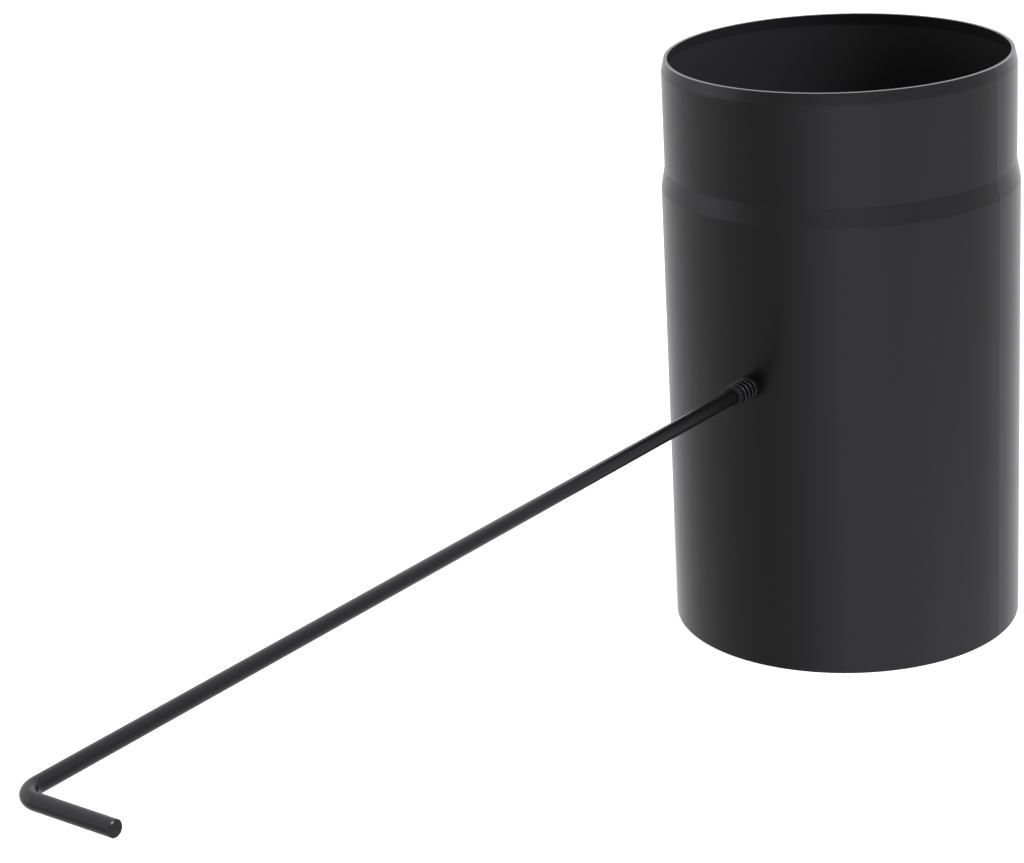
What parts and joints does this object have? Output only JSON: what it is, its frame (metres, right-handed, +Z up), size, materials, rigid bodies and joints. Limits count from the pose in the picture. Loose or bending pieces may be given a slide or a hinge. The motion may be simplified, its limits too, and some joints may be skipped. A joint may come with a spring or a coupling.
{
  "type": "flue pipe damper",
  "caption": "Straight round stove pipe with a swaged spigot and an inner throttle plate turned by a long cranked control rod held by a friction spring.",
  "frame": {"origin": "pipe axis at the lower rim", "axes": "+Z up the flue, out of the spigot; -Y along the control rod towards the handle; +X along the handle leg, level with the closed plate"},
  "size_m": [0.151, 0.5758, 0.25],
  "materials": {
    "pipe_paint": "satin black heat-resistant paint on steel sheet",
    "black_bar": "satin black finish on round steel bar",
    "plate_steel": "dark rolled mill finish on steel sheet",
    "strap_steel": "bare bent steel strip",
    "rivet_steel": "bare steel, domed and closed cold",
    "zinc_steel": "dull zinc plating",
    "black_washer": "blackened steel",
    "spring_steel": "black oil-tempered spring wire with a soft shine"
  },
  "bodies": {
    "flue_pipe": {"pipe": "pipe_paint"},
    "damper": {"control_rod": "black_bar", "damper_plate": "plate_steel", "strap_near": "strap_steel", "strap_far": "strap_steel", "rivet_near_left": "rivet_steel", "rivet_near_right": "rivet_steel", "rivet_far_left": "rivet_steel", "rivet_far_right": "rivet_steel", "lock_bolt_near": "zinc_steel", "lock_bolt_far": "zinc_steel", "lock_washer_near": "zinc_steel", "lock_washer_far": "zinc_steel", "lock_nut_near": "zinc_steel", "lock_nut_far": "zinc_steel", "wall_washer_near": "black_washer", "wall_washer_far": "black_washer", "friction_spring": "spring_steel", "stop_collar": "black_bar", "collar_pin": "zinc_steel", "split_pin": "zinc_steel"}
  },
  "joints": [
    {"name": "damper_turn", "type": "hinge", "parent": "flue_pipe", "child": "damper", "pos_m": [0, 0, 0.125], "axis": [0, -1, 0], "continuous": true}
  ]
}
